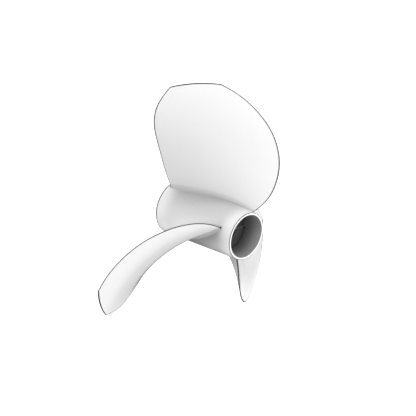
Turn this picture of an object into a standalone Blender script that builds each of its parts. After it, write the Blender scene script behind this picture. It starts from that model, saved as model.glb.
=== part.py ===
"""Three-bladed left-handed ship propeller with a tapered hub and an aft nut recess.

The shaft axis runs along Y. The origin is on the axis, at the hub's forward face, and the
hub reaches aft, towards -Y. Seen from aft, +X is to the right and +Z is up. Lengths are in
millimetres here and become metres when the meshes are made.
"""
import math

import bmesh
import bpy
import numpy as np
from mathutils import Matrix, Vector

MM = 0.001

# How the shapes are made: corners sharper than this angle stay crisp when shaded, points
# closer than the merge distance (metres) are one, and a cutter runs this far past its work
SHARP_ANGLE = math.radians(30.0)
MERGE_DISTANCE = 0.00001
CUTTER_OVERRUN = 10.0

# Hub: a straight cone, wider at its forward end
HUB_LENGTH = 370.0
HUB_FORWARD_RADIUS = 108.5
HUB_AFT_RADIUS = 89.0
HUB_STEPS = 72

# Nut recess in the aft end, with a flat shoulder as its floor
RECESS_DEPTH = 80.0
RECESS_MOUTH_RADIUS = 81.0
RECESS_FLOOR_RADIUS = 77.0

# Shaft bore: 1 in 12 on the diameter, narrow end at the shoulder
BORE_AFT_RADIUS = 33.0
BORE_TAPER = 1.0 / 12.0

# Keyway in the bore, and the shallow slot that the nut's locking plate drops into, which
# ends just short of the recess wall
KEY_WIDTH = 20.0
KEY_DEPTH = 6.0
LOCK_SLOT_WIDTH = 22.0
LOCK_SLOT_DEPTH = 10.0
LOCK_SLOT_REACH = RECESS_FLOOR_RADIUS - 1.0

# Blades: one table row for each radius. Angles are degrees clockwise from the blade's
# own upright, seen from aft. Places are millimetres aft of the hub's forward face.
BLADE_COUNT = 3
TIP_RADIUS = 500.0
ROOT_RADIUS = 78.0
BLADE_TABLE = (
    # radius, leading angle, leading place, trailing angle, trailing place
    (60.0, -22.4, 14.0, 57.0, 305.0),
    (100.0, -22.3, 14.0, 58.9, 321.0),
    (150.0, -22.0, 14.0, 60.1, 333.0),
    (200.0, -21.4, 14.0, 59.0, 334.0),
    (250.0, -20.3, 14.0, 56.2, 326.0),
    (300.0, -19.4, 13.0, 52.2, 312.0),
    (350.0, -18.6, 12.0, 46.8, 288.0),
    (400.0, -17.0, 15.0, 39.5, 250.0),
    (440.0, -14.5, 22.0, 31.3, 206.0),
    (470.0, -11.2, 31.0, 23.7, 166.0),
    (500.0, -6.8, 42.0, 14.3, 117.0),
)
ROOT_THICKNESS = 43.0
TIP_THICKNESS = 5.0
EDGE_THICKNESS = 3.0
FILLET_RADIUS = 12.0
FILLET_EDGE_SHARE = 0.3
BLADE_ROWS = 26
BLADE_COLUMNS = 18
ROW_CROWDING = 1.15  # above 1, the rows lie closer together near the root

# Touching solids keep this much air between them
SEAT_GAP = 0.3

WHITE_COATING = (0.86, 0.86, 0.86, 1.0)
COATING_ROUGHNESS = 0.55


def clear_scene():
    for item in list(bpy.data.objects):
        bpy.data.objects.remove(item, do_unlink=True)


def make_collection(name):
    collection = bpy.data.collections.new(name)
    bpy.context.scene.collection.children.link(collection)
    return collection


def coating_material(name):
    material = bpy.data.materials.new(name)
    material.use_nodes = True
    shader = material.node_tree.nodes["Principled BSDF"]
    shader.inputs["Base Color"].default_value = WHITE_COATING
    shader.inputs["Roughness"].default_value = COATING_ROUGHNESS
    shader.inputs["Metallic"].default_value = 0.0
    material.diffuse_color = WHITE_COATING
    return material


def hub_radius(place):
    """Outer radius of the hub, at a place aft of its forward face."""
    share = place / HUB_LENGTH
    return HUB_FORWARD_RADIUS + (HUB_AFT_RADIUS - HUB_FORWARD_RADIUS) * share


def bore_radius(place):
    """Radius of the tapered bore, at a place aft of the hub's forward face."""
    shoulder = HUB_LENGTH - RECESS_DEPTH
    return BORE_AFT_RADIUS + (shoulder - place) * BORE_TAPER / 2.0


def shade_round(mesh):
    """Smooth shading over the round faces, crisp at the corners."""
    mesh.shade_smooth()
    mesh.set_sharp_from_angle(angle=SHARP_ANGLE)


def turned_object(name, profile, collection):
    """Turn (radius, place) points round the shaft axis with a Screw modifier.

    The profile is drawn in the XZ plane, with the aft end down, and the finished object is
    tipped so that down becomes aft.
    """
    mesh = bpy.data.meshes.new(name)
    points = [(radius * MM, 0.0, -place * MM) for radius, place in profile]
    count = len(points)
    edges = [(index, (index + 1) % count) for index in range(count)]
    mesh.from_pydata(points, edges, [])
    item = bpy.data.objects.new(name, mesh)
    collection.objects.link(item)
    screw = item.modifiers.new("turn", "SCREW")
    screw.axis = "Z"
    screw.angle = math.tau
    screw.steps = HUB_STEPS
    screw.render_steps = HUB_STEPS
    screw.use_merge_vertices = True
    screw.merge_threshold = MERGE_DISTANCE
    item.rotation_euler = (-math.pi / 2.0, 0.0, 0.0)
    return item


def use_finished_mesh(item):
    """Give an object the mesh that its modifiers make, shaded round, in their place."""
    evaluated = item.evaluated_get(bpy.context.evaluated_depsgraph_get())
    mesh = bpy.data.meshes.new_from_object(evaluated)
    shade_round(mesh)
    item.modifiers.clear()
    item.data = mesh


def box_object(name, low, high, collection):
    """An upright box between two corners in millimetres."""
    mesh = bpy.data.meshes.new(name)
    shape = bmesh.new()
    bmesh.ops.create_cube(shape, size=1.0)
    size = [(b - a) * MM for a, b in zip(low, high)]
    centre = [(a + b) * MM / 2.0 for a, b in zip(low, high)]
    matrix = Matrix.Translation(centre) @ Matrix.Diagonal((*size, 1.0))
    bmesh.ops.transform(shape, matrix=matrix, verts=shape.verts)
    shape.to_mesh(mesh)
    shape.free()
    item = bpy.data.objects.new(name, mesh)
    collection.objects.link(item)
    return item


def mark_as_cutter(item):
    item.hide_render = True
    item.display_type = "WIRE"


def cut(item, cutter):
    boolean = item.modifiers.new("cut_" + cutter.name, "BOOLEAN")
    boolean.operation = "DIFFERENCE"
    boolean.solver = "EXACT"
    boolean.object = cutter


def make_hub(parts, cutters):
    shoulder = HUB_LENGTH - RECESS_DEPTH
    profile = [
        (HUB_FORWARD_RADIUS, 0.0),
        (HUB_AFT_RADIUS, HUB_LENGTH),
        (RECESS_MOUTH_RADIUS, HUB_LENGTH),
        (RECESS_FLOOR_RADIUS, shoulder),
        (BORE_AFT_RADIUS, shoulder),
        (bore_radius(0.0), 0.0),
    ]
    hub = turned_object("hub", profile, parts)
    use_finished_mesh(hub)
    # The keyway's floor follows the taper, so its cutter is turned about its forward end
    keyway = box_object(
        "keyway_cutter",
        (-BORE_AFT_RADIUS, -shoulder + LOCK_SLOT_DEPTH / 2.0, -KEY_WIDTH / 2.0),
        (0.0, CUTTER_OVERRUN, KEY_WIDTH / 2.0),
        cutters,
    )
    keyway.location = ((bore_radius(0.0) + KEY_DEPTH) * MM, 0.0, 0.0)
    keyway.rotation_euler = (0.0, 0.0, -math.atan(BORE_TAPER / 2.0))
    slot = box_object(
        "lock_slot_cutter",
        (0.0, -shoulder - CUTTER_OVERRUN, -LOCK_SLOT_WIDTH / 2.0),
        (LOCK_SLOT_REACH, -shoulder + LOCK_SLOT_DEPTH, LOCK_SLOT_WIDTH / 2.0),
        cutters,
    )
    for cutter in (keyway, slot):
        mark_as_cutter(cutter)
        cut(hub, cutter)
    return hub


def table_value(radius, column):
    """Smooth curve through one column of the blade table (cubic Hermite spans)."""
    radii = np.array([row[0] for row in BLADE_TABLE])
    values = np.array([row[column] for row in BLADE_TABLE])
    slopes = np.gradient(values, radii)
    index = int(np.clip(np.searchsorted(radii, radius) - 1, 0, len(radii) - 2))
    span = radii[index + 1] - radii[index]
    t = (radius - radii[index]) / span
    return (
        (2 * t**3 - 3 * t**2 + 1) * values[index]
        + (t**3 - 2 * t**2 + t) * span * slopes[index]
        + (3 * t**2 - 2 * t**3) * values[index + 1]
        + (t**3 - t**2) * span * slopes[index + 1]
    )


def fillet_flare(height):
    """How far the root fillet stands off the blade, at a height above the hub."""
    if height >= FILLET_RADIUS:
        return 0.0
    drop = FILLET_RADIUS - max(height, 0.0)
    return FILLET_RADIUS - math.sqrt(FILLET_RADIUS**2 - drop**2)


def blade_point(radius, share, side):
    """A point of the blade's skin.

    share runs from 0 at the leading edge to 1 at the trailing edge, and side is 1 on the
    aft face and -1 on the forward face. The section is laid out on an unrolled cylinder,
    then wrapped round the shaft.
    """
    lead_angle = math.radians(table_value(radius, 1))
    lead_place = table_value(radius, 2)
    trail_angle = math.radians(table_value(radius, 3))
    trail_place = table_value(radius, 4)
    round_run = radius * (trail_angle - lead_angle)
    aft_run = trail_place - lead_place
    chord = math.hypot(round_run, aft_run)
    along = (round_run / chord, aft_run / chord)
    across = (-along[1], along[0])

    fullness = 4.0 * share * (1.0 - share)
    reach = (radius - ROOT_RADIUS) / (TIP_RADIUS - ROOT_RADIUS)
    thickest = ROOT_THICKNESS + (TIP_THICKNESS - ROOT_THICKNESS) * reach
    half = (EDGE_THICKNESS + (thickest - EDGE_THICKNESS) * fullness) / 2.0

    middle_place = lead_place + share * aft_run
    flare = fillet_flare(radius - hub_radius(middle_place))
    face_share = FILLET_EDGE_SHARE + (1.0 - FILLET_EDGE_SHARE) * math.sqrt(fullness)
    offset = side * (half + flare * face_share)
    run = share * chord + flare * FILLET_EDGE_SHARE * (2.0 * share - 1.0)
    angle = lead_angle + (run * along[0] + offset * across[0]) / radius
    place = lead_place + run * along[1] + offset * across[1]
    return Vector((radius * math.sin(angle), -place, radius * math.cos(angle))) * MM


def blade_mesh(name):
    """Loft the sections: a ring of points at each radius, closed at root and tip."""
    radii = [
        ROOT_RADIUS + (TIP_RADIUS - ROOT_RADIUS) * (row / (BLADE_ROWS - 1)) ** ROW_CROWDING
        for row in range(BLADE_ROWS)
    ]
    shares = [
        0.5 - 0.5 * math.cos(math.pi * column / BLADE_COLUMNS)
        for column in range(BLADE_COLUMNS + 1)
    ]
    shape = bmesh.new()
    rings = []
    for radius in radii:
        aft = [blade_point(radius, share, 1) for share in shares]
        forward = [blade_point(radius, share, -1) for share in reversed(shares)]
        rings.append([shape.verts.new(point) for point in aft + forward])
    count = len(rings[0])
    for lower, upper in zip(rings, rings[1:]):
        for index in range(count):
            following = (index + 1) % count
            shape.faces.new((lower[index], lower[following], upper[following], upper[index]))
    for ring in (rings[0], rings[-1]):
        for index in range(BLADE_COLUMNS):
            opposite = count - 1 - index
            shape.faces.new((ring[index], ring[index + 1], ring[opposite - 1], ring[opposite]))
    bmesh.ops.recalc_face_normals(shape, faces=shape.faces)
    mesh = bpy.data.meshes.new(name)
    shape.to_mesh(mesh)
    shape.free()
    shade_round(mesh)
    return mesh


def make_blades(parts, cutters):
    """Three equal blades, each cut off just clear of the hub's cone."""
    ahead = -CUTTER_OVERRUN
    astern = HUB_LENGTH + CUTTER_OVERRUN
    profile = [
        (0.0, ahead),
        (hub_radius(ahead) + SEAT_GAP, ahead),
        (hub_radius(astern) + SEAT_GAP, astern),
        (0.0, astern),
    ]
    seat = turned_object("blade_seat_cutter", profile, cutters)
    mark_as_cutter(seat)
    mesh = blade_mesh("blade")
    blades = []
    names = ("blade_top", "blade_starboard", "blade_port")
    for index, name in enumerate(names):
        blade = bpy.data.objects.new(name, mesh.copy())
        blade.rotation_euler = (0.0, index * math.tau / BLADE_COUNT, 0.0)
        parts.objects.link(blade)
        cut(blade, seat)
        blades.append(blade)
    return blades


def main():
    clear_scene()
    parts = make_collection("ship_propeller")
    cutters = make_collection("cutters")
    pieces = [make_hub(parts, cutters)] + make_blades(parts, cutters)
    for piece in pieces:
        piece.data.materials.append(coating_material(piece.name + "_coating"))


main()
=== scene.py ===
import math

import bpy
import numpy as np
from mathutils import Matrix, Vector
from mathutils.kdtree import KDTree


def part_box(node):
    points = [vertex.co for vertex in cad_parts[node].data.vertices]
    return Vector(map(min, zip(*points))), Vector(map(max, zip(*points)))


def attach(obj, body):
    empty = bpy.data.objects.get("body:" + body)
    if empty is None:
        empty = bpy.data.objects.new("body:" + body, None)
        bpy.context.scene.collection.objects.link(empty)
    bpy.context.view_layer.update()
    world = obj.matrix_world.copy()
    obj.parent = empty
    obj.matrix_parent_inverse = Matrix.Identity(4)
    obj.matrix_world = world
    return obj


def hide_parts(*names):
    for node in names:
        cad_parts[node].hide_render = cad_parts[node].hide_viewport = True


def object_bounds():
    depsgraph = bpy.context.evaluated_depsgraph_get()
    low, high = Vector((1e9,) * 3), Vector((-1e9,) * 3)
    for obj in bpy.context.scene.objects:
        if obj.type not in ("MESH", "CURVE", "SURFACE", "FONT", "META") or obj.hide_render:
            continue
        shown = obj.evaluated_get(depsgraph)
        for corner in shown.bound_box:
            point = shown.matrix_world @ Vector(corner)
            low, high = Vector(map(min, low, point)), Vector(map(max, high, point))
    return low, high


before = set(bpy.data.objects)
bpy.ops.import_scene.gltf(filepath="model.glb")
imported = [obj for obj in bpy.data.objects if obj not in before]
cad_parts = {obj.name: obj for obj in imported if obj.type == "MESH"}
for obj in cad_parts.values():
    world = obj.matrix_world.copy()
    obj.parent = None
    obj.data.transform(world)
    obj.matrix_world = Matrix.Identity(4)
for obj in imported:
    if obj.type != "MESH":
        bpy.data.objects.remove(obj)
cadLow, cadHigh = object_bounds()
hubLow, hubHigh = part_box("hub")
print("frame loaded, CAD box", tuple(cadLow), tuple(cadHigh))

mm = 0.001      # in metres
metre = 1000.0  # in millimetres


# Selecting and finishing
def deselectAll():
    if bpy.context.object and bpy.context.object.mode != "OBJECT":
        bpy.ops.object.mode_set(mode="OBJECT")
    bpy.ops.object.select_all(action="DESELECT")


def makeActive(piece):
    deselectAll()
    piece.select_set(True)
    bpy.context.view_layer.objects.active = piece


def namePiece(name):
    piece = bpy.context.object
    piece.name = name
    piece.data.name = name
    return piece


def applyAllModifiers(piece):
    makeActive(piece)
    for modifier in list(piece.modifiers):
        bpy.ops.object.modifier_apply(modifier=modifier.name)


def storeValues(piece, name, values):
    # one number for each vertex, which a material reads by this name
    attribute = piece.data.attributes.new(name, "FLOAT", "POINT")
    attribute.data.foreach_set("value", values)


def mergeAndTurnOut(mergeDistance):
    # the active mesh: seams closed, faces pointing out
    bpy.ops.object.mode_set(mode="EDIT")
    bpy.ops.mesh.select_all(action="SELECT")
    bpy.ops.mesh.remove_doubles(threshold=mergeDistance)
    bpy.ops.mesh.normals_make_consistent(inside=False)
    bpy.ops.object.mode_set(mode="OBJECT")


# Shader maths: one socket, with operators that add Math nodes
class shaderValue:
    def __init__(self, tree, socket=None):
        self.tree = tree
        self.socket = socket

    def add(self, kind, settings=None, inputs=None, output=0):
        node = self.tree.nodes.new(kind)
        for name, value in (settings or {}).items():
            if name == "stops":
                ramp = node.color_ramp
                while len(ramp.elements) < len(value):
                    ramp.elements.new(0.5)
                for element, (position, tone) in zip(ramp.elements, value):
                    element.position = position
                    element.color = (tone, tone, tone, 1.0)
            else:
                setattr(node, name, value)
        for name, value in (inputs or {}).items():
            if isinstance(value, shaderValue):
                self.tree.links.new(value.socket, node.inputs[name])
            else:
                node.inputs[name].default_value = value
        return shaderValue(self.tree, node.outputs[output])

    def maths(self, operation, first, second=0.0):
        return self.add("ShaderNodeMath", {"operation": operation}, {0: first, 1: second})

    def __add__(self, other):
        return self.maths("ADD", self, other)

    def __radd__(self, other):
        return self.maths("ADD", other, self)

    def __sub__(self, other):
        return self.maths("SUBTRACT", self, other)

    def __rsub__(self, other):
        return self.maths("SUBTRACT", other, self)

    def __mul__(self, other):
        return self.maths("MULTIPLY", self, other)

    def __rmul__(self, other):
        return self.maths("MULTIPLY", other, self)

    def __truediv__(self, other):
        return self.maths("DIVIDE", self, other)

    def power(self, other):
        return self.maths("POWER", self, other)

    def smooth(self, low, high):
        # 0 below low, 1 above high, a soft step between
        inputs = {"Value": self, "From Min": low, "From Max": high}
        return self.add("ShaderNodeMapRange", {"interpolation_type": "SMOOTHSTEP"}, inputs)

    def mixValue(self, low, high):
        # self is the factor between two numbers
        return self.add("ShaderNodeMix", {}, {0: self, 2: low, 3: high})

    def mixTone(self, grey, colour):
        # self is the factor between one grey and a colour
        inputs = {0: self, 6: (grey, grey, grey, 1.0), 7: colour}
        return self.add("ShaderNodeMix", {"data_type": "RGBA"}, inputs, 2)


def startMaterial(name):
    material = bpy.data.materials.new(name)
    material.use_nodes = True
    tree = material.node_tree
    shader = tree.nodes["Principled BSDF"]
    return material, tree, shader


def feed(tree, value, socket):
    tree.links.new(value.socket, socket)


def noise(start, place, grain):
    # grain is the scale in waves a metre, the detail and the roughness of the noise
    scale, detail, roughness = grain
    inputs = {"Vector": place, "Scale": scale, "Detail": detail, "Roughness": roughness}
    return start.add("ShaderNodeTexNoise", {}, inputs)


def objectCoordinates(start):
    return start.add("ShaderNodeTexCoord", {}, {}, 3)


def objectPlace(start):
    # x, y and z in metres
    split = start.add("ShaderNodeSeparateXYZ", {}, {0: objectCoordinates(start)})
    return [shaderValue(start.tree, output) for output in split.socket.node.outputs]


def stored(start, name):
    # a number stored on the mesh for each vertex
    return start.add("ShaderNodeAttribute", {"attribute_name": name}, {}, 2)


def toneColour(start, tone):
    return start.add("ShaderNodeCombineColor", {}, {"Red": tone, "Green": tone, "Blue": tone})


def lengthOf(first, second):
    return (first * first + second * second).power(0.5)


def lineShare(distance, width, share):
    # share on the line itself, 1 beyond its width, all in millimetres
    return share + distance.smooth(width - 0.5, width + 0.5) * (1.0 - share)


def bumpFrom(start, height):
    # height in metres
    return start.add("ShaderNodeBump", {}, {"Strength": 1.0, "Distance": 1.0, "Height": height})


# White coating of hub and blades
coatingLook = {
    "broad": (5.0, 2.0, 0.5),         # the noises: waves a metre, detail, roughness
    "mottle": (70.0, 4.0, 0.6),
    "castWave": (38.0, 3.0, 0.45),
    "orangePeel": (420.0, 2.0, 0.5),
    "ragged": (260.0, 4.0, 0.65),
    "toneSwing": 0.03,
    "mottleShare": 0.5,
    "roughness": 0.48,
    "roughnessSwing": 0.10,
    "specular": 0.0,
    # how flat the surface is seen, 0 facing and 1 edge-on, and the clear coat's weight there
    "gloss": ((0.5, 0.0), (0.6, 0.34), (0.7, 0.92), (0.78, 0.79), (0.85, 0.58), (0.95, 1.0)),
    "coatRoughness": 0.05,
    "coatIor": 1.5,
    "castWaveHeight": 0.00022,        # metres
    "orangePeelHeight": 0.00004,
    "coatingHeight": 0.00012,         # of the white over the painted dark outline
    # a dark outline painted along the edges, in place of the outlines and the shade where an edge is seen
    # edge-on
    "outlineTone": 0.03,
    "outlineSmoothness": 0.08,
    "outlineSoftness": 0.6,              # millimetres on each side over which the line fades
    "outlineRaggedness": 1.3,            # millimetres that its edge wanders
}
# Painted light and shade on the white coating: tone is the white itself, the other tones are the share of
# it left where shade is painted, and the corner reach is how far in metres the ambient occlusion looks for
# the shade painted into corners
bladeShading = {
    "tone": 0.72,
    "cornerShadeReach": 0.6,
    "forwardCornerShade": 0.1,       # how strongly the painted corner shade darkens each of the two faces
    "aftCornerShade": 0.5,
    "footShadeTone": 0.73,
    "footShadeReach": 22.0,          # millimetres over which the shade painted at a blade's foot fades to white
}
hubShading = {
    # painted light: the hub's white is set lighter than the blades' though it is the same coating
    "tone": 0.88,
    "cornerShadeReach": 0.3,
    "footShadeTone": 0.69,
    "middleShadeTone": 0.79,
    "footShadeReach": (65.0, 115.0),
    "footShift": 0.2,           # the shade painted at the foot fades sooner towards the aft end
    "forwardLitTone": 0.87,
    "forwardReach": (20.0, 85.0),
    "aftLitTone": 1.02,
    "aftReach": (15.0, 70.0),
    "backReach": (-10.0, 60.0),  # no painted corner shade beside a blade's forward side
}


def bladeEdgeDistance(start):
    # millimetres beyond the painted dark outline
    return stored(start, "wornDistance")


def bladePaintedShade(start, corner):
    shading = bladeShading
    cornerDepth = shading["aftCornerShade"] - shading["forwardCornerShade"]
    cornerShare = shading["forwardCornerShade"] + stored(start, "aftFace") * cornerDepth
    footUnshaded = stored(start, "footDistance").smooth(0.0, shading["footShadeReach"])
    footShare = shading["footShadeTone"] + footUnshaded * (1.0 - shading["footShadeTone"])
    # painted shade in corners and at the foot, times the blade's own painted light and shade
    return (1.0 - cornerShare * (1.0 - corner)) * footShare * stored(start, "cleanShare")


def hubPaintedShade(start, corner):
    # painted shade on the hub, darkest by the blades' feet, and painted light at its two open ends
    shading = hubShading
    aft = objectPlace(start)[1] * -metre
    footUnshaded = (stored(start, "footDistance") + aft * shading["footShift"]).smooth(*shading["footShadeReach"])
    middle = shading["footShadeTone"] + footUnshaded * (shading["middleShadeTone"] - shading["footShadeTone"])
    nearForward = 1.0 - aft.smooth(*shading["forwardReach"])
    nearAft = 1.0 - (hubLength * metre - aft).smooth(*shading["aftReach"])
    share = middle * (1.0 - nearForward - nearAft)
    share = share + nearForward * shading["forwardLitTone"] + nearAft * shading["aftLitTone"]
    cornerShare = stored(start, "backDistance").smooth(*shading["backReach"])
    return (1.0 - cornerShare * (1.0 - corner)) * share


def whiteCoating(name, shading, edgeDistance, cleanShare):
    look = coatingLook
    material, tree, shader = startMaterial(name)
    start = shaderValue(tree)
    place = objectCoordinates(start)
    mottle = noise(start, place, look["mottle"]) - 0.5
    tone = shading["tone"] + (noise(start, place, look["broad"]) - 0.5) * look["toneSwing"]
    tone = tone + mottle * look["toneSwing"] * look["mottleShare"]
    # ambient occlusion paints shade into the base colour in corners and between hub and blades
    corner = start.add("ShaderNodeAmbientOcclusion", {"samples": 8}, {"Distance": shading["cornerShadeReach"]}, 1)
    tone = tone * cleanShare(start, corner)
    # the painted dark outline along the edges
    ragged = (noise(start, place, look["ragged"]) - 0.5) * look["outlineRaggedness"]
    offOutline = (edgeDistance(start) + ragged).smooth(-look["outlineSoftness"], look["outlineSoftness"])
    colour = offOutline.mixTone(look["outlineTone"], toneColour(start, tone))
    feed(tree, colour, shader.inputs["Base Color"])
    rough = look["roughness"] + mottle * look["roughnessSwing"] - (1.0 - offOutline) * look["outlineSmoothness"]
    feed(tree, rough, shader.inputs["Roughness"])
    shader.inputs["Specular IOR Level"].default_value = look["specular"]
    flatness = start.add("ShaderNodeLayerWeight", {}, {"Blend": 0.5}, 1)
    gloss = start.add("ShaderNodeValToRGB", {"stops": look["gloss"]}, {"Fac": flatness})
    feed(tree, gloss, shader.inputs["Coat Weight"])
    shader.inputs["Coat Roughness"].default_value = look["coatRoughness"]
    shader.inputs["Coat IOR"].default_value = look["coatIor"]
    height = noise(start, place, look["castWave"]) * look["castWaveHeight"]
    height = height + noise(start, place, look["orangePeel"]) * look["orangePeelHeight"]
    feed(tree, bumpFrom(start, height + offOutline * look["coatingHeight"]), shader.inputs["Normal"])
    return material


# Hub, in millimetres
hubSizes = {
    "aftRadius": 89.0,
    "recessDepth": 80.0,
    "mouthRadius": 81.0,
    "floorRadius": 77.0,
    "boreAftRadius": 33.0,
    "boreTaper": 1.0 / 12.0,
    "keyWidth": 20.0,
    "keyDepth": 6.0,
    "slotWidth": 22.0,
    "slotDepth": 10.0,
    "slotChamfer": 1.0,
    "slotStop": 1.0,            # the slot ends this far short of the wall
    "outerRound": 1.6,
    "mouthRound": 1.0,
    "forwardRound": 2.0,
    "forwardOutlineWidth": 6.0,         # painted dark outline round the forward arris and the outer aft arris
    "outerOutlineWidth": 2.0,
    "floorRound": 1.5,
    "boreRound": 1.5,
    "turnSteps": 240,
    "roundSteps": 5,
    "longestRun": 6.0,
    "mergeDistance": 0.005,
    "smoothAngle": 32.0,        # degrees
    "mouthSlack": 0.2,
    "rimNormal": -0.85,         # faces of the mouth that point further aft than this stay white
}
hubLength = hubHigh.y - hubLow.y
hubForwardRadius = hubHigh.x


def hubRadiusAt(place):
    # metres, at a place aft of the forward face
    share = place / hubLength
    return hubForwardRadius + (hubSizes["aftRadius"] * mm - hubForwardRadius) * share


def roundedProfile(corners, steps):
    # corners are (radius, place, rounding), a closed outline; each rounding is an arc
    points = []
    count = len(corners)
    for index, (radius, place, rounding) in enumerate(corners):
        corner = Vector((radius, place))
        before = Vector(corners[index - 1][:2]) - corner
        after = Vector(corners[(index + 1) % count][:2]) - corner
        before.normalize()
        after.normalize()
        halfAngle = before.angle(after) / 2.0
        reach = rounding / math.tan(halfAngle)
        centre = corner + (before + after).normalized() * (rounding / math.sin(halfAngle))
        first = corner + before * reach
        last = corner + after * reach
        points.append(first + before * rounding)
        for step in range(steps + 1):
            share = step / steps
            turn = (first - centre).angle(last - centre)
            blend = (
                (first - centre) * (math.sin((1.0 - share) * turn) / math.sin(turn))
                + (last - centre) * (math.sin(share * turn) / math.sin(turn))
            )
            points.append(centre + blend)
        points.append(last + after * rounding)
    return points


def splitLongRuns(points, longest):
    # points added along straight runs, so that a value stored on them follows the surface
    split = []
    for index, point in enumerate(points):
        following = points[(index + 1) % len(points)]
        pieces = max(1, math.ceil((following - point).length / longest))
        split += [point.lerp(following, piece / pieces) for piece in range(pieces)]
    return split


def makeHub():
    sizes = hubSizes
    shoulder = hubLength - sizes["recessDepth"] * mm
    boreAft = sizes["boreAftRadius"] * mm
    boreForward = boreAft + shoulder * sizes["boreTaper"] / 2.0
    corners = [
        (hubForwardRadius, 0.0, sizes["forwardRound"] * mm),
        (sizes["aftRadius"] * mm, hubLength, sizes["outerRound"] * mm),
        (sizes["mouthRadius"] * mm, hubLength, sizes["mouthRound"] * mm),
        (sizes["floorRadius"] * mm, shoulder, sizes["floorRound"] * mm),
        (boreAft, shoulder, sizes["boreRound"] * mm),
        (boreForward, 0.0, sizes["boreRound"] * mm),
    ]
    profile = splitLongRuns(roundedProfile(corners, sizes["roundSteps"]), sizes["longestRun"] * mm)
    deselectAll()
    bpy.ops.mesh.primitive_circle_add(vertices=len(profile), radius=0.05)
    hub = namePiece("hubCasting")
    for vertex, (radius, place) in zip(hub.data.vertices, profile):
        vertex.co = (radius, -place, 0.0)
    bpy.ops.object.mode_set(mode="EDIT")
    bpy.ops.mesh.select_all(action="SELECT")
    bpy.ops.mesh.spin(
        steps=sizes["turnSteps"], angle=math.tau, center=(0.0, 0.0, 0.0), axis=(0.0, 1.0, 0.0)
    )
    bpy.ops.object.mode_set(mode="OBJECT")
    mergeAndTurnOut(sizes["mergeDistance"] * mm)
    cutSlotAndKeyway(hub, shoulder, boreAft, boreForward)
    makeActive(hub)
    bpy.ops.object.shade_smooth_by_angle(angle=math.radians(sizes["smoothAngle"]))
    return hub


def cutSlotAndKeyway(hub, shoulder, boreAft, boreForward):
    sizes = hubSizes
    slotEnd = (sizes["floorRadius"] - sizes["slotStop"]) * mm
    slotDepth = sizes["slotDepth"] * mm
    slotWidth = sizes["slotWidth"] * mm
    chamfer = sizes["slotChamfer"] * mm
    # slot: a box to just below the shoulder's face, then flared by its chamfer into the recess
    deselectAll()
    bpy.ops.mesh.primitive_cube_add(size=1.0, location=(slotEnd / 2.0, slotDepth / 2.0 - shoulder, 0.0))
    slot = namePiece("slotCutter")
    slot.scale = (slotEnd, slotDepth, slotWidth)
    bpy.ops.object.transform_apply(location=True, rotation=True, scale=True)
    for vertex in slot.data.vertices:
        if vertex.co.y < slotDepth / 2.0 - shoulder:
            vertex.co.y += chamfer
    bpy.ops.object.mode_set(mode="EDIT")
    bpy.ops.mesh.select_all(action="DESELECT")
    bpy.ops.object.mode_set(mode="OBJECT")
    for face in slot.data.polygons:
        face.select = face.normal.y < -0.9  # the aft end alone
    bpy.ops.object.mode_set(mode="EDIT")
    flare = (slotWidth + 4.0 * chamfer) / slotWidth
    bpy.ops.mesh.extrude_region_move(TRANSFORM_OT_translate={"value": (0.0, -2.0 * chamfer, 0.0)})
    bpy.ops.transform.resize(value=(1.0, 1.0, flare), center_override=(0.0, -shoulder, 0.0))
    bpy.ops.object.mode_set(mode="OBJECT")
    # keyway: a bar that follows the taper, sunk in the bore's starboard side
    slope = math.atan(sizes["boreTaper"] / 2.0)
    keyDepth = sizes["keyDepth"] * mm
    deselectAll()
    bpy.ops.mesh.primitive_cube_add(size=1.0)
    keyway = namePiece("keywayCutter")
    keyLength = shoulder + 4.0 * slotDepth  # past the forward face
    keyway.scale = (boreAft, keyLength, sizes["keyWidth"] * mm)
    bpy.ops.object.transform_apply(location=True, rotation=True, scale=True)
    middle = (boreAft + boreForward) / 2.0 + keyDepth - boreAft / 2.0
    keyway.location = (middle, -shoulder / 2.0 + slotDepth, 0.0)
    keyway.rotation_euler = (0.0, 0.0, -slope)
    bpy.ops.object.transform_apply(location=True, rotation=True, scale=True)
    for vertex in keyway.data.vertices:
        if vertex.co.y < -shoulder / 2.0:
            vertex.co.y = -shoulder + slotDepth / 2.0  # ends in the slot
    for cutter in (slot, keyway):
        boolean = hub.modifiers.new("cut", "BOOLEAN")
        boolean.object = cutter
        boolean.solver = "EXACT"
        applyAllModifiers(hub)
        bpy.data.objects.remove(cutter)


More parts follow.
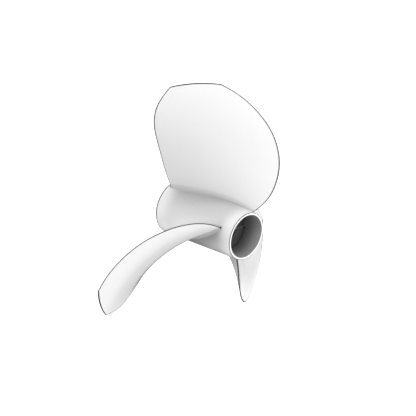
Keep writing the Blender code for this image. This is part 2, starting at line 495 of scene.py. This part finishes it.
# Blades, in millimetres
bladeSizes = {
    "tipRadius": 500.0,
    "rootRadius": 78.0,
    "rootThickness": 43.0,
    "tipThickness": 5.0,
    "edgeThickness": 3.0,
    "filletRadius": 12.0,
    "filletEdgeShare": 0.3,
    "edgeRound": 1.2,
    "tipRound": 1.0,
    "edgeMidway": 2.2,          # a column and a row between the rounding and the margin
    "edgeMargin": 3.6,          # the even columns and rows lie inside this
    "faceColumns": 40,
    "faceRows": 60,
    "rowSpread": 1.1,           # over 1 the rows are closer together at the hub
    "roundSteps": 4,
    "filletSteps": 12,
    "sunkDepth": 5.0,           # the root goes on this far into the hub
    "sunkFlare": 0.6,
    "landingDepth": 0.4,        # a row just under the hub's surface
    "firstRadius": 120.0,       # the hub's radius depends on the place and the place on the
    "placeRounds": 4,           # radius, so they are found in a few rounds
    "mergeDistance": 0.004,
    # widths of the painted dark outline on the aft face and on the forward face of each blade: beside the
    # leading edge and the trailing edge, each at the hub and at the tip, and beside the tip edge; they
    # differ blade by blade
    "outlineWidth": {
        "bladeTop": ((2.4, 4.2, 1.5, 12.0, 3.2), (2.4, 2.4, 1.2, 1.2, 2.2)),
        "bladeStarboard": ((5.0, 6.0, 9.0, 3.0, 8.0), (2.4, 2.4, 6.0, 0.5, 2.2)),
        "bladePort": ((1.5, 8.0, 0.6, 3.3, 3.0), (1.5, 4.0, 0.8, 0.8, 2.2)),
    },
    # painted light and shade: share of the white left on the same two faces, and what is added to it at
    # the hub and along the trailing edge, set blade by blade
    "litShare": {
        "bladeTop": ((0.98, 0.0, 0.0), (0.98, 0.0, 0.0)),
        "bladeStarboard": ((0.98, 0.0, 0.30), (1.0, -0.4, 0.0)),
        "bladePort": ((1.05, 0.3, 0.0), (1.0, 0.0, 0.0)),
    },
    "trailReach": 150.0,
    "hubPower": 4,              # how fast what is added at the hub fades outwards
    # radius, leading angle and place, trailing angle and place: angles are degrees clockwise
    # from the blade's own upright seen from aft, places are aft of the hub's forward face
    "sections": (
        (60.0, -22.4, 14.0, 57.0, 305.0),
        (100.0, -22.3, 14.0, 58.9, 321.0),
        (150.0, -22.0, 14.0, 60.1, 333.0),
        (200.0, -21.4, 14.0, 59.0, 334.0),
        (250.0, -20.3, 14.0, 56.2, 326.0),
        (300.0, -19.4, 13.0, 52.2, 312.0),
        (350.0, -18.6, 12.0, 46.8, 288.0),
        (400.0, -17.0, 15.0, 39.5, 250.0),
        (440.0, -14.5, 22.0, 31.3, 206.0),
        (470.0, -11.2, 31.0, 23.7, 166.0),
        (500.0, -6.8, 42.0, 14.3, 117.0),
    ),
}
# the pieces and the CAD nodes they stand for, each a third of a turn on, clockwise seen from aft
bladeNodes = {"bladeTop": "blade_top", "bladeStarboard": "blade_starboard", "bladePort": "blade_port"}
bladeTurns = [Matrix.Rotation(index * math.tau / 3.0, 4, "Y") for index in range(len(bladeNodes))]
sectionTable = np.array(bladeSizes["sections"])
sectionSlopes = np.gradient(sectionTable, sectionTable[:, 0], axis=0)


def sectionAt(radius):
    # smooth curve through the section table: angles in radians, places in millimetres
    radii = sectionTable[:, 0]
    index = int(np.clip(np.searchsorted(radii, radius) - 1, 0, len(radii) - 2))
    span = radii[index + 1] - radii[index]
    t = (radius - radii[index]) / span
    row = (
        (2 * t**3 - 3 * t**2 + 1) * sectionTable[index]
        + (t**3 - 2 * t**2 + t) * span * sectionSlopes[index]
        + (3 * t**2 - 2 * t**3) * sectionTable[index + 1]
        + (t**3 - t**2) * span * sectionSlopes[index + 1]
    )
    return math.radians(row[1]), row[2], math.radians(row[3]), row[4]


def columnRuns():
    # (end, distance from that end or share between the two margins, rise of the rounding)
    sizes = bladeSizes
    corner = []
    for step in range(sizes["roundSteps"] + 1):
        turn = math.pi / 2.0 * step / sizes["roundSteps"]
        corner.append((sizes["edgeRound"] * (1.0 - math.cos(turn)), math.sin(turn)))
    corner += [(sizes["edgeMidway"], 1.0), (sizes["edgeMargin"], 1.0)]
    columns = [("lead", distance, rise) for distance, rise in corner]
    count = sizes["faceColumns"]
    for column in range(1, count):
        columns.append(("middle", 0.5 - 0.5 * math.cos(math.pi * column / count), 1.0))
    columns += [("trail", distance, rise) for distance, rise in reversed(corner)]
    return columns


def rowHeights():
    # (height over the hub, or distance below the tip; flare; share of thickness left)
    sizes = bladeSizes
    fillet = sizes["filletRadius"]
    sunk = fillet + sizes["sunkFlare"]
    rows = [("hub", -sizes["sunkDepth"], sunk, 0.0), ("hub", -sizes["sunkDepth"], sunk, 1.0)]
    rows.append(("hub", -sizes["landingDepth"], sunk, 1.0))
    for step in range(sizes["filletSteps"] + 1):
        turn = math.pi / 2.0 * (1.0 - step / sizes["filletSteps"])
        rows.append(("hub", fillet * (1.0 - math.sin(turn)), fillet * (1.0 - math.cos(turn)), 1.0))
    count = sizes["faceRows"]
    for row in range(1, count):
        rows.append(("between", (row / count) ** sizes["rowSpread"], 0.0, 1.0))
    rows += [("tip", sizes["edgeMargin"], 0.0, 1.0), ("tip", sizes["edgeMidway"], 0.0, 1.0)]
    for step in range(sizes["roundSteps"] + 1):
        turn = math.pi / 2.0 * step / sizes["roundSteps"]
        rows.append(("tip", sizes["tipRound"] * (1.0 - math.sin(turn)), 0.0, 1.0))
    rows += [("tip", 0.0, 0.0, 0.5), ("tip", 0.0, 0.0, 0.0)]
    return rows


def bladeSkinPoint(column, row, side):
    # the part's own blade formula, with its arrises rounded; also the distances to the
    # leading, trailing and tip edges, and the height over the hub, in millimetres
    sizes = bladeSizes
    end, across, rise = column
    level, height, flare, thicknessLeft = row
    tip = sizes["tipRadius"]
    margin = sizes["edgeMargin"]
    radius = sizes["firstRadius"]
    for _ in range(sizes["placeRounds"]):
        leadAngle, leadPlace, trailAngle, trailPlace = sectionAt(radius)
        roundRun = radius * (trailAngle - leadAngle)
        aftRun = trailPlace - leadPlace
        chord = math.hypot(roundRun, aftRun)
        if end == "lead":
            share = across / chord
        elif end == "trail":
            share = 1.0 - across / chord
        else:
            share = (margin + (chord - 2.0 * margin) * across) / chord
        hubRadius = hubRadiusAt((leadPlace + share * aftRun) * mm) / mm
        if level == "hub":
            radius = hubRadius + height
        elif level == "tip":
            radius = tip - height
        else:
            low = hubRadius + sizes["filletRadius"]
            radius = low + (tip - margin - low) * height
    tipRound = sizes["tipRound"]
    below = tip - radius
    tuck = 0.0
    if below < tipRound:
        tuck = tipRound - math.sqrt(tipRound**2 - (tipRound - below) ** 2)
    fromEdges = (share * chord, (1.0 - share) * chord, max(below, 0.0))
    fullness = 4.0 * share * (1.0 - share)
    reach = (radius - sizes["rootRadius"]) / (tip - sizes["rootRadius"])
    thickest = sizes["rootThickness"] + (sizes["tipThickness"] - sizes["rootThickness"]) * reach
    half = (sizes["edgeThickness"] + (thickest - sizes["edgeThickness"]) * fullness) / 2.0
    half -= sizes["edgeRound"] * (1.0 - rise) + tuck
    edgeShare = sizes["filletEdgeShare"]
    faceShare = edgeShare + (1.0 - edgeShare) * math.sqrt(max(fullness, 0.0))
    offset = side * (half + flare * faceShare) * thicknessLeft
    run = tuck + share * (chord - 2.0 * tuck) + flare * edgeShare * (2.0 * share - 1.0)
    along = (roundRun / chord, aftRun / chord)
    angle = leadAngle + (run * along[0] - offset * along[1]) / radius
    place = leadPlace + run * along[1] + offset * along[0]
    point = Vector((radius * math.sin(angle), -place, radius * math.cos(angle))) * mm
    return point, fromEdges, radius - hubRadiusAt(place * mm) / mm


def outlineAndShade(name, face, fromEdges, reach):
    # millimetres beyond the painted dark outline, and the share of the white left by painted light and
    # shade
    leadAtHub, leadAtTip, trailAtHub, trailAtTip, tip = bladeSizes["outlineWidth"][name][face]
    lead = leadAtHub + (leadAtTip - leadAtHub) * reach
    trail = trailAtHub + (trailAtTip - trailAtHub) * reach
    pastOutline = min(away - width for away, width in zip(fromEdges, (lead, trail, tip)))
    share, atHub, atTrail = bladeSizes["litShare"][name][face]
    nearTrail = max(1.0 - fromEdges[1] / bladeSizes["trailReach"], 0.0)
    return pastOutline, share + atHub * (1.0 - reach) ** bladeSizes["hubPower"] + atTrail * nearTrail


def makeBlade():
    # one upright blade, which carries the painted outline and painted light and shade values of all three
    columns = columnRuns()
    ring = [(column, 1.0) for column in columns] + [(column, -1.0) for column in reversed(columns)]
    ring.append(ring[0])
    rows = rowHeights()
    deselectAll()
    bpy.ops.mesh.primitive_grid_add(x_subdivisions=len(ring) - 1, y_subdivisions=len(rows) - 1, size=2.0)
    blade = namePiece("bladeCasting")
    values = {"footDistance": [], "aftFace": []}
    for name in bladeNodes:
        values.update({"wornDistance" + name: [], "cleanShare" + name: []})
    rootToTip = bladeSizes["tipRadius"] - bladeSizes["rootRadius"]
    for vertex in blade.data.vertices:
        column = round((vertex.co.x + 1.0) / 2.0 * (len(ring) - 1))
        row = round((vertex.co.y + 1.0) / 2.0 * (len(rows) - 1))
        side = ring[column][1]
        point, fromEdges, foot = bladeSkinPoint(ring[column][0], rows[row], side)
        vertex.co = point
        values["footDistance"].append(foot)
        values["aftFace"].append(max(side, 0.0))
        reach = min(max(foot / rootToTip, 0.0), 1.0)
        for name in bladeNodes:
            pastOutline, litShare = outlineAndShade(name, 0 if side > 0.0 else 1, fromEdges, reach)
            values["wornDistance" + name].append(pastOutline)
            values["cleanShare" + name].append(litShare)
    for kind, numbers in values.items():
        storeValues(blade, kind, numbers)
    mergeAndTurnOut(bladeSizes["mergeDistance"] * mm)
    bpy.ops.object.shade_smooth()
    return blade


def makeBlades():
    # three copies, each keeping its own painted outline and painted light and shade values
    model = makeBlade()
    blades = {}
    for index, name in enumerate(bladeNodes):
        blade = model.copy()
        blade.data = model.data.copy()
        blade.name = name
        blade.data.name = name
        bpy.context.scene.collection.objects.link(blade)
        blade.data.transform(bladeTurns[index])
        for kind in ("wornDistance", "cleanShare"):
            numbers = np.zeros(len(blade.data.vertices))
            blade.data.attributes[kind + name].data.foreach_get("value", numbers)
            for other in bladeNodes:
                blade.data.attributes.remove(blade.data.attributes[kind + other])
            storeValues(blade, kind, numbers)
        blades[name] = blade
    bpy.data.objects.remove(model)
    return blades


def storeFootDistances(hub):
    # millimetres to the nearest blade's foot, on the side of its aft face and of its forward face
    landing = ("hub", 0.0, bladeSizes["filletRadius"], 1.0)
    for name, side in (("footDistance", 1.0), ("backDistance", -1.0)):
        foot = [bladeSkinPoint(column, landing, side)[0] for column in columnRuns()]
        points = [turn @ point for turn in bladeTurns for point in foot]
        tree = KDTree(len(points))
        for index, point in enumerate(points):
            tree.insert(point, index)
        tree.balance()
        storeValues(hub, name, [tree.find(vertex.co)[2] / mm for vertex in hub.data.vertices])


hub = makeHub()
storeFootDistances(hub)
print("hub made,", len(hub.data.polygons), "faces")
blades = makeBlades()
print("blades made,", len(blades["bladeTop"].data.polygons), "faces each")


# Machined finish inside the recess and the bore, its tones darkened with painted shade that deepens
# inwards
machinedShadeLook = {
    "grain": (160.0, 4.0, 0.6),
    "mouthTone": 0.44,
    "deepShadeTone": 0.165,
    "wallGrain": 0.04,          # how far the grain moves a tone
    "shoulderGrain": 0.01,
    "mouthLine": (1.2, 0.6),    # millimetres of painted dark outline inside the mouth, and its share of white
    "cornerLine": (1.8, 0.12),  # painted shade line where the wall meets the shoulder or the slot's floor
    # painted light and shade: the shoulder and the slot's floor dark, the slot's sides lighter as if lit
    "shoulderTone": 0.055,
    "slotSideTone": 0.39,
    "slotFloorTone": 0.07,
    "boreTone": 0.15,
    "roughness": 0.42,
    "roughnessSwing": 0.2,
    "ringScale": 520.0,         # turned rings a metre
    "ringHeight": 0.000015,     # metres
    "grainHeight": 0.00003,
}


def hubEdgeDistance(start):
    # millimetres beyond the painted dark outline of the nearer turned arris, forward or outer aft
    x, y, z = objectPlace(start)
    radius = lengthOf(x, z)
    nearest = None
    arrises = (
        (hubForwardRadius, 0.0, hubSizes["forwardOutlineWidth"]),
        (hubSizes["aftRadius"] * mm, -hubLength, hubSizes["outerOutlineWidth"]),
    )
    for arrisRadius, arrisPlace, outlineWidth in arrises:
        distance = lengthOf(radius - arrisRadius, y - arrisPlace) * metre - outlineWidth
        nearest = distance if nearest is None else start.maths("MINIMUM", nearest, distance)
    return nearest


def machinedShadeFinish(name):
    look = machinedShadeLook
    sizes = hubSizes
    material, tree, shader = startMaterial(name)
    start = shaderValue(tree)
    x, y, z = objectPlace(start)
    depth = (y + hubLength) * metre  # millimetres in from the mouth
    radius = lengthOf(x, z) * metre
    grain = noise(start, objectCoordinates(start), look["grain"])
    uneven = grain - 0.5
    # the wall, darker inwards as painted shade; the small steps from here on are soft edges in millimetres
    deep = depth.smooth(0.0, sizes["recessDepth"])
    wall = look["mouthTone"] + deep * (look["deepShadeTone"] - look["mouthTone"]) + uneven * look["wallGrain"]
    # the shoulder, and below its face the slot's sides, the slot's floor and the bore, in tones of painted
    # light and shade
    sunk = depth - sizes["recessDepth"]
    slotSide = 1.0 - sunk.smooth(sizes["slotDepth"] - 0.8, sizes["slotDepth"] - 0.3)
    slot = slotSide.mixValue(look["slotFloorTone"], look["slotSideTone"])
    inBore = sunk.smooth(sizes["slotDepth"] + 0.5, sizes["slotDepth"] + 1.0)
    inBore = start.maths("MAXIMUM", inBore, 1.0 - (radius - sizes["boreAftRadius"]).smooth(1.2, 2.0))
    below = inBore.mixValue(slot, look["boreTone"])
    shoulder = look["shoulderTone"] + uneven * look["shoulderGrain"]
    floor = sunk.smooth(0.5, 1.2).mixValue(shoulder, below)
    onWall = radius.smooth(sizes["floorRadius"] - 2.4, sizes["floorRadius"] - 1.6)
    # the painted shade line in the corner, which steps down with the slot's floor
    halfSlot = sizes["slotWidth"] / 2.0
    beside = start.maths("ABSOLUTE", z * metre).smooth(halfSlot, halfSlot + 0.5)
    atSlot = (1.0 - beside) * (x * metre).smooth(0.0, 1.0)
    fromCorner = lengthOf(radius - sizes["floorRadius"] + atSlot, sunk - atSlot * sizes["slotDepth"])
    litShare = lineShare(fromCorner, *look["cornerLine"]) * lineShare(depth, *look["mouthLine"])
    tone = onWall.mixValue(floor, wall) * litShare
    feed(tree, toneColour(start, tone), shader.inputs["Base Color"])
    rings = start.maths("SINE", (depth + radius) * (look["ringScale"] * math.tau * mm))
    height = rings * look["ringHeight"] + grain * look["grainHeight"]
    feed(tree, bumpFrom(start, height), shader.inputs["Normal"])
    feed(tree, look["roughness"] + uneven * look["roughnessSwing"], shader.inputs["Roughness"])
    return material


def finishHub(hub):
    hub.data.materials.append(whiteCoating("hubCoating", hubShading, hubEdgeDistance, hubPaintedShade))
    hub.data.materials.append(machinedShadeFinish("hubMachinedShade"))
    # machined inside the mouth's rounding, up to just short of the forward face
    mouth = hubSizes["mouthRadius"] * mm
    rounding = hubSizes["forwardRound"] * mm
    for face in hub.data.polygons:
        centre = face.center
        radius = math.hypot(centre.x, centre.z)
        behindFront = centre.y < -rounding
        onWall = radius < mouth + hubSizes["mouthSlack"] * mm and face.normal.y > hubSizes["rimNormal"]
        onShoulder = radius < mouth and centre.y > rounding - hubLength
        face.material_index = 1 if behindFront and (onWall or onShoulder) else 0


finishHub(hub)
bladeCoating = whiteCoating("bladeCoating", bladeShading, bladeEdgeDistance, bladePaintedShade)
for blade in blades.values():
    blade.data.materials.append(bladeCoating)
print("finishes made")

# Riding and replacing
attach(hub, "root")
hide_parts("hub")
for name, blade in blades.items():
    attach(blade, "root")
    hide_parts(bladeNodes[name])

# Studio: pale floor and backdrop, soft light and the camera
studio = {
    "floorDrop": 0.55,        # metres below the lowest blade
    "floorSize": 80.0,        # metres
    "floorTone": 0.95,
    "floorRoughness": 0.9,
    "floorGlow": 0.4,
    "backdropTone": 0.72,
    "lightDistance": 4.0,
    "lightWidth": 50.0,       # degrees that each soft light spans
    # azimuth from straight aft towards starboard, elevation, strength
    "lights": {
        "portLowLight": (-120.0, -20.0, 0.21),
        "portUnderLight": (-120.0, -50.0, 0.21),
        "forwardLowLight": (-150.0, -20.0, 0.56),
        "topLight": (-180.0, 70.0, 0.19),
        "aftPortLight": (-30.0, 10.0, 0.03),
        "portAftLight": (-60.0, 10.0, 0.09),
        "portAftHighLight": (-60.0, 40.0, 0.16),
        "portHighLight": (-90.0, 40.0, 0.46),
        "aftLowLight": (0.0, -20.0, 0.18),
        "aftLight": (0.0, 10.0, 0.38),
        "forwardHighLight": (150.0, 40.0, 0.42),
        "underLight": (30.0, -50.0, 0.37),
        "aftStarboardLight": (30.0, 10.0, 0.47),
        "starboardAftLight": (60.0, 10.0, 0.34),
    },
    "cameraAzimuth": 44.53,   # degrees to port of straight aft
    "cameraElevation": 24.43,
    "cameraDistance": 2.8932,
    "cameraSideways": -0.1384,  # metres from the middle of the hub's aft end
    "cameraUpwards": 0.1020,
    "cameraLens": 70.0,       # millimetres
    "cameraSensor": 36.0,
}


def viewAxes():
    # right, up and back as the camera sees them
    azimuth = math.radians(studio["cameraAzimuth"])
    elevation = math.radians(studio["cameraElevation"])
    back = Vector((
        -math.sin(azimuth) * math.cos(elevation),
        -math.cos(azimuth) * math.cos(elevation),
        math.sin(elevation),
    ))
    right = Vector((math.cos(azimuth), -math.sin(azimuth), 0.0))
    return right, back.cross(right), back


def makeCamera():
    right, up, back = viewAxes()
    aim = Vector((0.0, -hubLength, 0.0)) + right * studio["cameraSideways"] + up * studio["cameraUpwards"]
    deselectAll()
    bpy.ops.object.camera_add(location=aim + back * studio["cameraDistance"])
    camera = bpy.context.object
    camera.name = "camera"
    camera.rotation_euler = Matrix((right, up, back)).transposed().to_euler()
    camera.data.lens = studio["cameraLens"]
    camera.data.sensor_width = studio["cameraSensor"]
    bpy.context.scene.camera = camera


def makeFloor():
    deselectAll()
    height = cadLow.z - studio["floorDrop"]
    bpy.ops.mesh.primitive_plane_add(size=studio["floorSize"], location=(0.0, 0.0, height))
    floor = namePiece("studioFloor")
    material, tree, shader = startMaterial("paleFloor")
    tone = studio["floorTone"]
    shader.inputs["Base Color"].default_value = (tone, tone, tone, 1.0)
    shader.inputs["Roughness"].default_value = studio["floorRoughness"]
    shader.inputs["Emission Color"].default_value = (1.0, 1.0, 1.0, 1.0)
    shader.inputs["Emission Strength"].default_value = studio["floorGlow"]
    floor.data.materials.append(material)
    floor.visible_diffuse = False
    floor.visible_glossy = False
    floor.visible_shadow = False


def makeWorld():
    world = bpy.data.worlds.new("studioWorld")
    bpy.context.scene.world = world
    world.use_nodes = True
    # a pale backdrop that is seen but gives no light and isn't reflected
    tree = world.node_tree
    background = tree.nodes["Background"]
    background.inputs["Color"].default_value = (1.0, 1.0, 1.0, 1.0)
    seen = shaderValue(tree).add("ShaderNodeLightPath")
    feed(tree, seen * studio["backdropTone"], background.inputs["Strength"])


def makeLights():
    for name, (azimuthDegrees, elevationDegrees, strength) in studio["lights"].items():
        azimuth = math.radians(azimuthDegrees)
        elevation = math.radians(elevationDegrees)
        towards = Vector((
            math.sin(azimuth) * math.cos(elevation),
            -math.cos(azimuth) * math.cos(elevation),
            math.sin(elevation),
        ))
        deselectAll()
        bpy.ops.object.light_add(type="SUN", location=towards * studio["lightDistance"])
        light = bpy.context.object
        light.name = name
        light.rotation_euler = towards.to_track_quat("Z", "Y").to_euler()
        light.data.energy = strength * math.pi
        light.data.angle = math.radians(studio["lightWidth"])
        light.visible_glossy = False


makeCamera()
makeLights()
makeFloor()
makeWorld()
bpy.context.scene.view_settings.view_transform = "Standard"
print("studio made")
